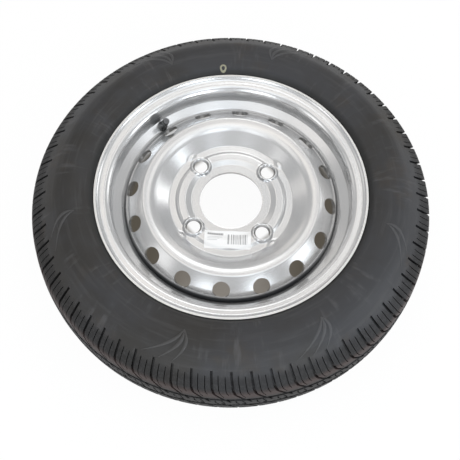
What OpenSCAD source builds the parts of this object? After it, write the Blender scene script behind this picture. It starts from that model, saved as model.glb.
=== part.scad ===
/* [Tyre] */
// Outer diameter of the tyre over its tread
tyre_d = 543; // [520:0.5:580]
// Width of the tyre across its sidewalls
tyre_w = 155; // [146:0.5:165]
// Radius of the tread's crown, seen in section
crown_rad = 250; // [180:1:400]
// Half width of the crown, up to where the shoulder starts to round
crown_half = 31; // [28:0.1:33]
// Radius of the shoulder, seen in section
shoulder_rad = 16; // [12:0.5:20]
// Angle at which the shoulder runs out into the sidewall
shoulder_end = 46; // [44:1:50]
// Radius of the sidewall's bulge, seen in section
bulge_rad = 34; // [28:0.5:40]
// Angle at which the bulge runs out towards the rim
bulge_end = 105; // [100:1:110]
// Thickness of the casing under the crown, tread included
tread_t = 13.5; // [11:0.1:16]
// Thickness of the sidewall
wall_t = 7; // [5:0.1:9]
// Number of pattern pitches round the tread
pitches = 64; // [48:1:72]
// Depth of the two grooves that run round the tread
groove_deep = 7; // [4:0.1:8]
// Width of those grooves at the tread's surface
groove_w = 7; // [5:0.1:9]
// Distance of each groove from the middle
groove_z = 12; // [10:0.1:16]
// Lean of each groove's walls, in degrees
groove_lean = 9; // [4:0.5:12]
// Depth of the notches across each shoulder
notch_deep = 4.2; // [2:0.1:6]
// Width of the notches across each shoulder
notch_w = 2.6; // [1:0.1:4]
// Slant of the notches from straight across, in degrees
notch_slant = 14; // [0:1:20]
// Width of the bead where it sits on the rim
bead_w = 18; // [14:0.1:19]
// Width of the step beside the rim's lip, where the sidewall starts
bead_step = 8.5; // [7:0.1:10]
// Bend radius at the outer edge of that step
bead_step_bend = 7; // [4:0.5:8]
// Gap between the bead and the rim
bead_fit = 0.05; // [0.02:0.01:0.1]

/* [Rim] */
// Diameter of the rim at its bead seats
seat_d = 329.4; // [320:0.1:340]
// Width of the rim between its flanges' inner faces
rim_w = 114.3; // [108:0.1:120]
// Height of each flange above its bead seat
flange_h = 18.2; // [17:0.1:18.5]
// Outer radius of the flange's curled lip
lip_rad = 9.5; // [8.5:0.1:10]
// Angle at which the lip ends, counted from where it points straight out
lip_curl = -12; // [-20:1:20]
// Thickness of the rim's sheet
rim_t = 2.8; // [2.4:0.1:3]
// Length of each bead seat
seat_len = 20.5; // [19.5:0.1:22]
// Taper of each bead seat, in degrees
seat_taper = 5; // [4:0.5:6]
// Bend radius of the heel, between the flange and the bead seat
heel_bend = 6.5; // [5:0.1:7]
// Bend radius behind each bead seat
seat_bend = 5; // [3:0.5:6]
// Height of the safety hump behind each bead seat
hump_h = 1.1; // [0.5:0.1:1.3]
// Distance of the hump's crest behind the bead seat
hump_run = 4.6; // [4.2:0.1:6]
// Bend radius over the hump
hump_bend = 3.5; // [3:0.1:3.6]
// Radius of the drop centre, on the tyre side
well_rad = 146.8; // [145:0.1:148]
// Height at which the front ledge meets the drop centre
ledge_z = 25; // [24:0.1:26]
// Bend radius between the front ledge and the drop centre
ledge_bend = 8; // [3:0.5:10]
// Height at which the back wall meets the drop centre
well_back_z = -14; // [-16:0.1:-10]
// Bend radius between the back wall and the drop centre
well_back_bend = 8; // [3:0.5:12]

/* [Disc] */
// Distance of the mounting face from the wheel's middle plane
offset_z = 30; // [28:0.5:32]
// Thickness of the disc's sheet
disc_t = 4; // [3:0.1:4.5]
// Diameter of the centre bore
bore_d = 85; // [80:0.1:88]
// Diameter of the circle through the stud holes
stud_circle = 130; // [128:0.1:132]
// Number of stud holes
studs = 4; // [4:1:4]
// Diameter of each stud hole at its throat
stud_d = 17; // [15:0.1:18]
// Diameter of each stud hole's conical seat at its mouth
seat_mouth = 22.4; // [20:0.1:23]
// Angle between the sides of that cone
seat_angle = 60; // [60:1:90]
// Diameter of the raised boss round each stud hole
boss_d = 28.6; // [27:0.1:29]
// Height of each boss above the pads between them
boss_h = 1.6; // [1:0.1:2]
// Height of the pads above the hub ring
pad_h = 3; // [2:0.1:3.5]
// Slope of each boss's side, as its width seen from above
boss_lean = 1.2; // [0.5:0.1:1.6]
// Radius at the foot of the ramp up to the pads
ramp_foot = 54; // [53:0.1:55]
// Radius at the top of the ramp up to the pads
ramp_top = 61.5; // [61:0.1:62.5]
// Radius at the top of the step outside the pads
step_top = 71.6; // [71:0.1:72]
// Radius at the foot of the step outside the pads
step_foot = 75.4; // [75:0.1:76]
// Bend radius at the top edges of the pads
pad_bend = 4.4; // [4.2:0.1:4.6]
// Bend radius at the foot of the ramp
ramp_bend = 4; // [1:0.5:5]
// Bend radius at the foot of the step
step_bend = 1.5; // [0.5:0.1:2]
// Bend radius at the foot of the dish's wall
foot_bend = 5; // [2:0.5:8]
// Radius at which the hub ring meets the dish's wall
foot_rad = 84.2; // [83:0.1:86]
// Radius at which the dish's wall meets the crown
dish_rad = 106; // [104:0.1:108]
// Height of that corner above the hub ring
dish_h = 17; // [15:0.1:19]
// Bend radius from the dish's wall to the crown
dish_bend = 24; // [18:0.5:25]
// Radius of the fold where the crown turns down to the vents
fold_rad = 119.5; // [118:0.1:121]
// Height of the fold above the hub ring
fold_h = 18.2; // [17:0.1:20]
// Bend radius of the fold
fold_bend = 4.5; // [4.2:0.1:6]
// Slope of the vented skirt
skirt_slope = 35.4; // [33:0.1:38]
// Bend radius where the skirt turns down along the rim
skirt_bend = 18; // [10:0.5:20]
// Height of the disc's lower edge, where it is welded
disc_end = 6; // [3:0.5:10]
// Gap between the disc and the rim
disc_fit = 0.05; // [0.02:0.01:0.1]
// Number of vent holes
vents = 16; // [12:1:18]
// Diameter of each vent hole
vent_d = 23; // [20:0.1:24]
// Radius of the circle through the vent holes, on the skirt's surface
vent_rad = 135; // [134:0.1:136]
// Height of that circle
vent_z = 40.6; // [39:0.1:42]
// Number of weld runs that hold the disc
welds = 8; // [6:1:10]
// Angle that each weld run spans
weld_span = 22; // [15:1:28]
// Leg of the welds' section
weld_leg = 3.5; // [2.5:0.1:4]

/* [Valve] */
// Where the valve stands round the rim
valve_az = 135; // [0:1:360]
// Place of the valve across the ledge, as a part of its width from the drop centre
valve_at = 0.42; // [0.4:0.01:0.5]
// Diameter of the valve hole
valve_hole = 11.5; // [11:0.1:12]
// Height of the stem's top above the ledge
stem_top = 33; // [31:0.5:36]
// Diameter of the rubber collar outside the rim
collar_d = 14; // [13:0.1:15]
// Diameter of the rubber bulb inside the rim
bulb_d = 18; // [16:0.1:18.4]
// Length of the rubber bulb inside the rim
bulb_len = 10; // [8:0.1:11]
// Height at which the rubber ends below the cap
rubber_top = 23.4; // [22:0.1:24]
// Diameter of the rubber at its top
rubber_top_d = 10.2; // [9.6:0.1:11]
// Diameter of the stem inside the rubber
stem_d = 7.2; // [6.6:0.1:7.4]
// Diameter of the stem's threaded top
thread_d = 7.7; // [7.6:0.1:8.2]
// Diameter of the stem's air way
air_d = 4; // [3.8:0.1:4.4]
// Diameter of the core's screwed plug
plug_d = 5.2; // [5:0.1:5.4]
// Length of the core's screwed plug
plug_len = 6; // [5:0.1:6]
// Diameter of the core's barrel
barrel_d = 3.2; // [3:0.1:3.4]
// Length of the core's barrel
barrel_len = 6.5; // [6:0.1:7]
// Wall of the core's barrel round the spring
barrel_wall = 0.4; // [0.3:0.05:0.45]
// Diameter of the core's pin
pin_d = 0.9; // [0.8:0.05:1]
// Gap between the pin and what it slides in
pin_fit = 0.05; // [0.02:0.01:0.1]
// Diameter of the spring's wire
wire_d = 0.3; // [0.2:0.05:0.35]
// Turns of the spring
spring_turns = 5; // [4:1:6]
// Outer diameter of the cap
cap_d = 9.6; // [9.2:0.1:10.4]
// Height of the cap's top above the stem's top
cap_roof = 2.4; // [1.5:0.1:4]
// Length of the cap's skirt down the thread
cap_skirt = 8.6; // [7:0.1:9]
// Gap between the cap and the thread
cap_fit = 0.08; // [0.05:0.01:0.1]

/* [Label] */
// Width of the paper label
label_w = 62; // [56:0.5:63]
// Height of the paper label
label_h = 26; // [20:0.5:28]
// Thickness of the paper label
label_t = 0.25; // [0.15:0.01:0.4]
// Distance of the label's middle from the wheel's axis
label_y = 60.2; // [59:0.1:62]
// Sideways place of the label's middle
label_x = 1.2; // [-2:0.1:2]
// Turn of the label
label_turn = 3.3; // [-5:0.1:5]

/* [Hidden] */
$fn = 96;
// Angle between the points of a rounded corner
arc_step = 10;
// A length that reaches clear of any sheet
clear = 20;
small = 0.01;

tyre_rad = tyre_d / 2;
seat_rad = seat_d / 2;
disc_rad = well_rad - rim_t - disc_fit;
hub_top = offset_z + disc_t;
pad_top = hub_top + pad_h;
boss_top = pad_top + boss_h;

function unit(v) = v / norm(v);
function xy(p) = [p[0], p[1]];
function turn(d) = d > 180 ? d - 360 : d < -180 ? d + 360 : d;
function reversed(p) = [for (i = [len(p) - 1:-1:0]) p[i]];
function mirrored(p) = [for (q = p) [q[0], -q[1], q[2]]];
function flipped(p) = [for (q = reversed(p)) [q[0], -q[1]]];
function but_last(p) = [for (i = [0:len(p) - 2]) p[i]];

// Points of an arc round the point c
function arc(c, r, a0, a1) =
    let (n = ceil(abs(a1 - a0) / arc_step))
    [for (i = [0:n]) c + r * [cos(a0 + (a1 - a0) * i / n), sin(a0 + (a1 - a0) * i / n)]];

// The corner p between a and b, rounded to radius r
function bend(a, p, b, r) =
    let (
        u = unit(a - p),
        v = unit(b - p),
        half = acos(u * v) / 2,
        c = p + unit(u + v) * r / sin(half),
        s = p + u * r / tan(half) - c,
        e = p + v * r / tan(half) - c,
        a0 = atan2(s[1], s[0]),
        a1 = a0 + turn(atan2(e[1], e[0]) - a0)
    )
    arc(c, r, a0, a1);

// Corners [radius, height, bend radius] made a path with rounded corners
function path(q) = [
    for (i = [0:len(q) - 1])
        each (i == 0 || i == len(q) - 1 || q[i][2] == 0) ? [xy(q[i])]
            : bend(xy(q[i - 1]), xy(q[i]), xy(q[i + 1]), q[i][2])
];

// A path moved sideways by t, to the left of its own direction
function left(d) = [-d[1], d[0]];
function side(p, t) = [
    for (i = [0:len(p) - 1])
        let (
            j = max(i, 1),
            k = min(i, len(p) - 2),
            n0 = left(unit(p[j] - p[j - 1])),
            n1 = left(unit(p[k + 1] - p[k]))
        )
        p[i] + t * (n0 + n1) / (1 + n0 * n1)
];

// The section of a sheet whose one face follows p
function sheet(p, t) = concat(p, reversed(side(p, t)));

// Rim section, on the tyre side: the flange's lip, then the corners down to the drop centre
lip_c = [seat_rad + flange_h - lip_rad, rim_w / 2 + lip_rad];
seat_end = [seat_rad - seat_len * tan(seat_taper), rim_w / 2 - seat_len];
hump = [seat_end[0] + hump_h, seat_end[1] - hump_run];
flange_corners = [
    [lip_c[0], rim_w / 2, 0],
    [seat_rad, rim_w / 2, heel_bend],
    [seat_end[0], seat_end[1], seat_bend],
    [hump[0], hump[1], hump_bend]
];
rim_corners = concat(
    flange_corners,
    [[well_rad, ledge_z, ledge_bend], [well_rad, well_back_z, well_back_bend]],
    reversed(mirrored(flange_corners))
);
lip = arc(lip_c, lip_rad, lip_curl, -90);
rim_path = concat(but_last(lip), path(rim_corners), flipped(but_last(lip)));

// Disc section, on the outer side, from the bore to the welded edge
hub_corners = [
    [bore_d / 2, hub_top, 0],
    [ramp_foot, hub_top, ramp_bend],
    [ramp_top, pad_top, pad_bend],
    [step_top, pad_top, pad_bend],
    [step_foot, hub_top, step_bend]
];
skirt_corner_z = hub_top + fold_h - (disc_rad - fold_rad) * tan(skirt_slope);
disc_corners = concat(
    hub_corners,
    [
        [foot_rad, hub_top, foot_bend],
        [dish_rad, hub_top + dish_h, dish_bend],
        [fold_rad, hub_top + fold_h, fold_bend],
        [disc_rad, skirt_corner_z, skirt_bend],
        [disc_rad, disc_end, 0]
    ]
);

// Tyre section: crown, shoulder and sidewall outside, bead on the rim, casing inside
crown_c = [tyre_rad - crown_rad, 0];
crown_end = asin(crown_half / crown_rad);
shoulder_c = crown_c + (crown_rad - shoulder_rad) * [cos(crown_end), sin(crown_end)];
shoulder_out = shoulder_c + shoulder_rad * [cos(shoulder_end), sin(shoulder_end)];
bulge_z = tyre_w / 2 - bulge_rad;
slant = (bulge_z + bulge_rad * sin(shoulder_end) - shoulder_out[1]) / cos(shoulder_end);
bulge_c = [
    shoulder_out[0] - slant * sin(shoulder_end) - bulge_rad * cos(shoulder_end),
    bulge_z
];
lip_leave = -35;
leave = lip_c + (lip_rad + bead_fit) * [cos(lip_leave), sin(lip_leave)];
bulge_out = bulge_c + bulge_rad * [cos(bulge_end), sin(bulge_end)];
ledge_rad = leave[0] + bead_step;
lower_corners = [
    [bulge_out[0], bulge_out[1], 0],
    [ledge_rad, bulge_out[1] + (bulge_out[0] - ledge_rad) / tan(bulge_end), bead_step_bend],
    [leave[0], leave[1], 0]
];
toe_z = rim_w / 2 - bead_w;
toe_rad = seat_rad - bead_w * tan(seat_taper);
bead_path = side(
    concat(
        but_last(arc(lip_c, lip_rad, lip_leave, -90)),
        path([[lip_c[0], rim_w / 2, 0], [seat_rad, rim_w / 2, heel_bend], [toe_rad, toe_z, 0]])
    ),
    bead_fit
);
inner_rad = tyre_rad - tread_t;
bulge_in = bulge_rad - wall_t;
inner_out = bulge_c + bulge_in * [cos(bulge_end), sin(bulge_end)];
inner_top = bulge_c + bulge_in * [cos(shoulder_end), sin(shoulder_end)];
inner_share = 0.6844;
inner_run = inner_share * (inner_out[0] - ledge_rad);
inner_low = inner_out + [-inner_run, inner_run / tan(bulge_end)];
inner_path = concat(
    path([
        [toe_rad + 1, toe_z - 0.6, 0],
        [toe_rad + 8, toe_z + 4.5, 8],
        [inner_low[0], inner_low[1], 20],
        [inner_out[0], inner_out[1], 0]
    ]),
    let (p = arc(bulge_c, bulge_in, bulge_end, shoulder_end)) [for (i = [1:len(p) - 2]) p[i]],
    path([
        [inner_top[0], inner_top[1], 0],
        [inner_rad, inner_top[1] - (inner_rad - inner_top[0]) / tan(shoulder_end), 16],
        [inner_rad, 0, 0]
    ])
);
outer_path = concat(
    but_last(arc(crown_c, crown_rad, 0, crown_end)),
    arc(shoulder_c, shoulder_rad, crown_end, shoulder_end),
    but_last(arc(bulge_c, bulge_rad, shoulder_end, bulge_end)),
    but_last(path(lower_corners))
);

// Frame of the valve: its axis stands square to the ledge, and height 0 is the ledge's tyre side
ledge_in = [well_rad, ledge_z];
valve_foot = ledge_in + valve_at * (hump - ledge_in);
valve_tilt = atan2(hump[1] - ledge_z, hump[0] - well_rad);
module at_valve() {
    rotate([0, 0, valve_az])
        translate([valve_foot[0], 0, valve_foot[1]])
            rotate([0, -valve_tilt, 0])
                children();
}
thread_foot = rubber_top + 0.2;
plug_top = stem_top - 1;
plug_end = plug_top - plug_len;
barrel_end = plug_end - barrel_len;
chamber_top = plug_end - 1;
chamber_end = barrel_end + 1;
chamber_rad = barrel_d / 2 - barrel_wall;
collar_top = chamber_top - 0.3;
collar_t = 0.5;
cup_seal_t = 1;
cup_floor = 0.8;
cup_end = barrel_end - cup_seal_t - cup_floor;
stem_end = -bulb_len + 1.5;

module tyre() {
    color("#464648")
        difference() {
            rotate_extrude()
                difference() {
                    tyre_section();
                    tyre_grooves();
                }
            for (i = [0:pitches - 1], s = [-1, 1])
                rotate([0, 0, (i + (s > 0 ? 0 : 0.5)) * 360 / pitches])
                    shoulder_notch(s);
        }
}

module tyre_section() {
    top = concat(outer_path, bead_path, inner_path);
    bottom = [for (i = [len(top) - 2:-1:1]) [top[i][0], -top[i][1]]];
    polygon(concat(top, bottom));
}

module tyre_grooves() {
    foot = groove_w / 2 - groove_deep * tan(groove_lean);
    top = foot + clear * tan(groove_lean);
    for (s = [-1, 1])
        translate([tyre_rad - groove_deep, s * groove_z])
            polygon([[0, -foot], [0, foot], [clear, top], [clear, -top]]);
}

module shoulder_notch(s) {
    middle = (crown_end + shoulder_end) / 2 + 4;
    translate([shoulder_c[0], 0, s * shoulder_c[1]])
        rotate([0, -s * middle, 0])
            rotate([s * notch_slant, 0, 0])
                translate([shoulder_rad - notch_deep, -notch_w / 2, -clear])
                    cube([clear, notch_w, 2 * clear]);
}

module rim_barrel() {
    color("#c4c5c6")
        difference() {
            rotate_extrude()
                polygon(sheet(rim_path, -rim_t));
            at_valve()
                translate([0, 0, -clear / 2])
                    cylinder(d = valve_hole, h = clear);
        }
}

module wheel_disc() {
    color("#c9caca")
        difference() {
            union() {
                rotate_extrude()
                    polygon(sheet(path(disc_corners), -disc_t));
                at_studs()
                    boss();
            }
            at_studs()
                stud_seat();
            at_vents()
                cylinder(d = vent_d, h = clear, center = true);
        }
}

module at_studs() {
    for (i = [0:studs - 1])
        rotate([0, 0, (i + 0.5) * 360 / studs])
            translate([stud_circle / 2, 0, 0])
                children();
}

module boss() {
    rotate_extrude()
        polygon(path([
            [0, pad_top - disc_t, 0],
            [boss_d / 2, pad_top - disc_t, 0],
            [boss_d / 2, pad_top - 1, 0],
            [boss_d / 2 - boss_lean, boss_top, 0.8],
            [0, boss_top, 0]
        ]));
}

module stud_seat() {
    cone_h = (seat_mouth - stud_d) / 2 / tan(seat_angle / 2);
    translate([0, 0, boss_top - cone_h])
        cylinder(d1 = stud_d, d2 = seat_mouth, h = cone_h);
    translate([0, 0, boss_top - small])
        cylinder(d = seat_mouth, h = clear);
    translate([0, 0, boss_top - clear])
        cylinder(d = stud_d, h = clear);
}

module at_vents() {
    for (i = [0:vents - 1])
        rotate([0, 0, i * 360 / vents])
            translate([vent_rad, 0, vent_z])
                rotate([0, 45, 0])
                    children();
}

module disc_welds() {
    color("#b4b5b6")
        for (i = [0:welds - 1])
            rotate([0, 0, (i + 0.5) * 360 / welds - weld_span / 2])
                rotate_extrude(angle = weld_span)
                    polygon([
                        [well_rad - rim_t - weld_leg, disc_end],
                        [well_rad - rim_t, disc_end - weld_leg],
                        [well_rad - rim_t, disc_end]
                    ]);
}

module valve_body() {
    color("#262626")
        at_valve()
            rotate_extrude()
                polygon(path([
                    [stem_d / 2, -bulb_len + 3, 0],
                    [stem_d / 2 + 1.4, -bulb_len, 0],
                    [bulb_d / 2 - 2.4, -bulb_len, 1.5],
                    [bulb_d / 2, -bulb_len / 2, 3],
                    [bulb_d / 2, 0, 0],
                    [valve_hole / 2, 0, 0],
                    [valve_hole / 2, rim_t, 0],
                    [collar_d / 2, rim_t, 0],
                    [collar_d / 2, rim_t + 4.5, 2],
                    [rubber_top_d / 2, rubber_top - 3, 6],
                    [rubber_top_d / 2, rubber_top, 0.8],
                    [stem_d / 2, rubber_top, 0]
                ]));
}

module valve_stem() {
    color("#b08d4a")
        at_valve()
            rotate_extrude()
                polygon([
                    [air_d / 2, stem_end],
                    [stem_d / 2, stem_end],
                    [stem_d / 2, thread_foot],
                    [thread_d / 2, thread_foot],
                    [thread_d / 2, stem_top - 0.5],
                    [thread_d / 2 - 0.5, stem_top],
                    [plug_d / 2 + pin_fit, stem_top],
                    [plug_d / 2 + pin_fit, plug_end - 0.2],
                    [air_d / 2, plug_end - 0.9]
                ]);
}

module core_housing() {
    hole = pin_d / 2 + pin_fit;
    color("#c2a050")
        at_valve()
            difference() {
                rotate_extrude()
                    polygon([
                        [hole, barrel_end],
                        [barrel_d / 2, barrel_end],
                        [barrel_d / 2, plug_end],
                        [plug_d / 2, plug_end],
                        [plug_d / 2, plug_top],
                        [hole, plug_top],
                        [hole, chamber_top],
                        [chamber_rad, chamber_top],
                        [chamber_rad, chamber_end],
                        [hole, chamber_end]
                    ]);
                for (s = [0, 1])
                    rotate([0, 0, 180 * s])
                        translate([plug_d / 2 - 0.9, -0.6, plug_top - 2])
                            cube([clear, 1.2, clear]);
            }
}

module core_barrel_seal() {
    color("#7d2a26")
        at_valve()
            rotate_extrude()
                translate([barrel_d / 2, plug_end - 3.2])
                    square([air_d / 2 - pin_fit - barrel_d / 2, 2]);
}

module core_pin() {
    color("#d8bb72")
        at_valve()
            rotate_extrude()
                polygon([
                    [0, cup_end - 0.3],
                    [pin_d / 2, cup_end - 0.3],
                    [pin_d / 2, collar_top - collar_t],
                    [chamber_rad - pin_fit, collar_top - collar_t],
                    [chamber_rad - pin_fit, collar_top],
                    [pin_d / 2, collar_top],
                    [pin_d / 2, stem_top - 0.6],
                    [pin_d / 2 - 0.15, stem_top - 0.4],
                    [0, stem_top - 0.4]
                ]);
}

module core_cup() {
    color("#c2a050")
        at_valve()
            rotate_extrude()
                polygon([
                    [pin_d / 2, cup_end],
                    [barrel_d / 2, cup_end],
                    [barrel_d / 2, barrel_end - 0.25],
                    [barrel_d / 2 - 0.3, barrel_end - 0.25],
                    [barrel_d / 2 - 0.3, cup_end + cup_floor],
                    [pin_d / 2, cup_end + cup_floor]
                ]);
}

module core_cup_seal() {
    color("#303030")
        at_valve()
            rotate_extrude()
                translate([pin_d / 2, cup_end + cup_floor])
                    square([barrel_d / 2 - 0.3 - pin_d / 2, cup_seal_t]);
}

// The spring stands on the barrel's floor and lifts the pin's collar
module core_spring() {
    sides = 8;
    steps = 18 * spring_turns;
    r = (chamber_rad - pin_fit + pin_d / 2 + pin_fit) / 2;
    z0 = chamber_end + wire_d / 2 + small;
    z1 = collar_top - collar_t - wire_d / 2 - small;
    points = [
        for (i = [0:steps], k = [0:sides - 1])
            let (a = 360 * spring_turns * i / steps, b = 360 * k / sides, q = r + wire_d / 2 * cos(b))
            [q * cos(a), q * sin(a), z0 + (z1 - z0) * i / steps + wire_d / 2 * sin(b)]
    ];
    walls = [
        for (i = [0:steps - 1], k = [0:sides - 1])
            let (m = (k + 1) % sides)
            [i * sides + k, i * sides + m, (i + 1) * sides + m, (i + 1) * sides + k]
    ];
    ends = [
        [for (k = [sides - 1:-1:0]) k],
        [for (k = [0:sides - 1]) steps * sides + k]
    ];
    color("#a8a8a8")
        at_valve()
            polyhedron(points, concat(walls, ends), convexity = 6);
}

module valve_cap() {
    bore = thread_d / 2 + cap_fit;
    color("#1e1e1e")
        at_valve()
            rotate_extrude()
                polygon(path([
                    [bore, stem_top - cap_skirt, 0],
                    [cap_d / 2, stem_top - cap_skirt, 0.4],
                    [cap_d / 2, stem_top + cap_roof, 1.2],
                    [0, stem_top + cap_roof, 0],
                    [0, stem_top, 0],
                    [bore, stem_top, 0]
                ]));
}

module label() {
    over = path(concat(hub_corners, [[foot_rad - 2, hub_top, 0]]));
    color("white")
        intersection() {
            rotate_extrude()
                polygon(sheet(over, label_t));
            translate([label_x, -label_y, hub_top + pad_h])
                rotate([0, 0, label_turn])
                    cube([label_w, label_h, clear], center = true);
        }
}

tyre();
rim_barrel();
wheel_disc();
disc_welds();
valve_body();
valve_stem();
core_housing();
core_barrel_seal();
core_pin();
core_cup();
core_cup_seal();
core_spring();
valve_cap();
label();
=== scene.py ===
import bpy
import bmesh
import math
from mathutils import Matrix, Vector


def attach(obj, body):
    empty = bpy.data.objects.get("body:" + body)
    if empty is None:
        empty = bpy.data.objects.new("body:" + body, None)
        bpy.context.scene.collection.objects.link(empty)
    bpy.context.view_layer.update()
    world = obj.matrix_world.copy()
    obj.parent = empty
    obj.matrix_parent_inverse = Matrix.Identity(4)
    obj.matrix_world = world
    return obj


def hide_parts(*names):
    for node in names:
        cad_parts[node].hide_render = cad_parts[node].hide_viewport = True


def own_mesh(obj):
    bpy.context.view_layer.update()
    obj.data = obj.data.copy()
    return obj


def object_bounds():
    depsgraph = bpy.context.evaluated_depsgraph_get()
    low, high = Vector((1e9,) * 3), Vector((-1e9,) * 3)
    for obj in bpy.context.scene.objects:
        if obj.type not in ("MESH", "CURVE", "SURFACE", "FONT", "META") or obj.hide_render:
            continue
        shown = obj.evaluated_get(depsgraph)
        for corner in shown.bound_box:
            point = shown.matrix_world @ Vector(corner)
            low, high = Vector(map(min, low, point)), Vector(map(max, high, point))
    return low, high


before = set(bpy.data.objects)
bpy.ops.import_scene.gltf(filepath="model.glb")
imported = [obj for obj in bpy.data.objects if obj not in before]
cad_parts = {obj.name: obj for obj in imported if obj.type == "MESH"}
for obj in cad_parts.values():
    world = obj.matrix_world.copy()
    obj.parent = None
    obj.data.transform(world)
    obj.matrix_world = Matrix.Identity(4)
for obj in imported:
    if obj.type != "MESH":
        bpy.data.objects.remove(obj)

cadBox = [list(corner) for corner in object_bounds()]
mm = 0.001
facet = math.radians(7)
joinWithin = 0.0005
onAxis = 1e-6

# where the photograph was taken from, in the wheel's own frame
cameraView = dict(place=(42.4, -562.3, 1139.6), yaw=-4.36, down=64.87, roll=1.17, focalPixels=912.4, framePixels=460,
                  sensorWidth=36, clipStart=0.01)


def addCamera(view):
    data = bpy.data.cameras.new("photoCamera")
    data.sensor_width = view["sensorWidth"]
    data.lens = view["sensorWidth"] * view["focalPixels"] / view["framePixels"]
    data.clip_start = view["clipStart"]
    camera = bpy.data.objects.new("photoCamera", data)
    bpy.context.scene.collection.objects.link(camera)
    turn = Matrix.Rotation(math.radians(-view["yaw"]), 4, "Z")
    tip = Matrix.Rotation(math.radians(90 - view["down"]), 4, "X")
    lean = Matrix.Rotation(math.radians(view["roll"]), 4, "Z")
    camera.matrix_world = Matrix.Translation(Vector(view["place"]) * mm) @ turn @ tip @ lean
    bpy.context.scene.camera = camera


addCamera(cameraView)
print("camera placed")


def onCircle(centre, radius, degrees):
    a = math.radians(degrees)
    return Vector((centre[0] + radius * math.cos(a), centre[1] + radius * math.sin(a)))


def mirrored(corners):
    return [(r, -z, bend) for r, z, bend in reversed(corners)]


def vertsOf(made):
    return [part for part in made["geom"] if isinstance(part, bmesh.types.BMVert)]


# a section's corners, each (radius, height, bend radius), joined and rounded
def drawSection(bm, corners, closed=False):
    spots = [Vector((r, 0, z)) for r, z, bend in corners]
    points = [bm.verts.new(spot) for spot in spots]
    for a, b in zip(points, points[1:]):
        bm.edges.new((a, b))
    if closed:
        bm.edges.new((points[-1], points[0]))
    for i, (r, z, bend) in enumerate(corners):
        if not bend:
            continue
        before = spots[i - 1] - spots[i]
        after = spots[(i + 1) % len(spots)] - spots[i]
        half = before.angle(after) / 2
        pieces = max(2, round((math.pi - 2 * half) / facet))
        bmesh.ops.bevel(bm, geom=[points[i]], offset=bend / math.tan(half), offset_type="OFFSET",
                        segments=pieces, profile=0.5, affect="VERTICES", material=-1)


def drawCylinder(bm, diameter, depth, place, sides):
    bmesh.ops.create_cone(bm, cap_ends=True, segments=sides, radius1=diameter / 2, radius2=diameter / 2,
                          depth=depth, matrix=place)


def spinRound(bm, steps):
    bmesh.ops.spin(bm, geom=bm.verts[:] + bm.edges[:], cent=(0, 0, 0), axis=(0, 0, 1),
                   angle=math.radians(360), steps=steps, use_merge=True)
    bmesh.ops.remove_doubles(bm, verts=bm.verts, dist=joinWithin)


# repeats the whole drawing round the wheel's axis
def repeatRound(bm, count):
    bmesh.ops.spin(bm, geom=bm.verts[:] + bm.edges[:] + bm.faces[:], cent=(0, 0, 0), axis=(0, 0, 1),
                   angle=math.radians(360 - 360 / count), steps=count - 1, use_duplicate=True)


def turnAbout(bm, degrees):
    bmesh.ops.rotate(bm, matrix=Matrix.Rotation(math.radians(degrees), 3, "Z"), verts=bm.verts)


def faceOutwards(bm):
    bmesh.ops.recalc_face_normals(bm, faces=bm.faces)
    if bm.calc_volume(signed=True) < 0:
        bmesh.ops.reverse_faces(bm, faces=bm.faces)


def upwards(face):
    return face.normal.z


def outwards(face):
    return face.calc_center_median().xy.normalized() @ face.normal.xy


# gives an open sheet its wall, on the side away from where its faces should look
def thicken(bm, thickness, facing):
    bmesh.ops.recalc_face_normals(bm, faces=bm.faces)
    if sum(facing(face) * face.calc_area() for face in bm.faces) < 0:
        bmesh.ops.reverse_faces(bm, faces=bm.faces)
    bm.normal_update()
    bmesh.ops.solidify(bm, geom=bm.faces[:], thickness=thickness)
    if bm.calc_volume(signed=True) < 0:
        bmesh.ops.reverse_faces(bm, faces=bm.faces)


def softenEdges(bm, width, segments=2, above=50):
    edges = [e for e in bm.edges if len(e.link_faces) == 2 and e.calc_face_angle(0) > math.radians(above)]
    bmesh.ops.bevel(bm, geom=edges, offset=width, offset_type="OFFSET", segments=segments,
                    profile=0.5, affect="EDGES", material=-1, clamp_overlap=True)


def shade(mesh, smoothBelow):
    mesh.shade_smooth()
    mesh.set_sharp_from_angle(angle=math.radians(smoothBelow))


def makeObject(name, bm, smoothBelow=35):
    bmesh.ops.scale(bm, vec=(mm, mm, mm), verts=bm.verts)
    mesh = bpy.data.meshes.new(name)
    bm.to_mesh(mesh)
    bm.free()
    shade(mesh, smoothBelow)
    piece = bpy.data.objects.new(name, mesh)
    bpy.context.scene.collection.objects.link(piece)
    return piece


# takes the cutters' shapes out of a piece, and throws the cutters away
def cut(piece, cutters, smoothBelow=35):
    for cutter in cutters:
        step = piece.modifiers.new("cut", "BOOLEAN")
        step.solver = "MANIFOLD"
        step.operation = "DIFFERENCE"
        step.object = cutter
    ready = piece.evaluated_get(bpy.context.evaluated_depsgraph_get())
    mesh = bpy.data.meshes.new_from_object(ready)
    piece.modifiers.clear()
    piece.data = mesh
    shade(mesh, smoothBelow)
    for cutter in cutters:
        bpy.data.objects.remove(cutter)
    print(piece.name, len(mesh.polygons), "faces after its cuts")


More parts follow.
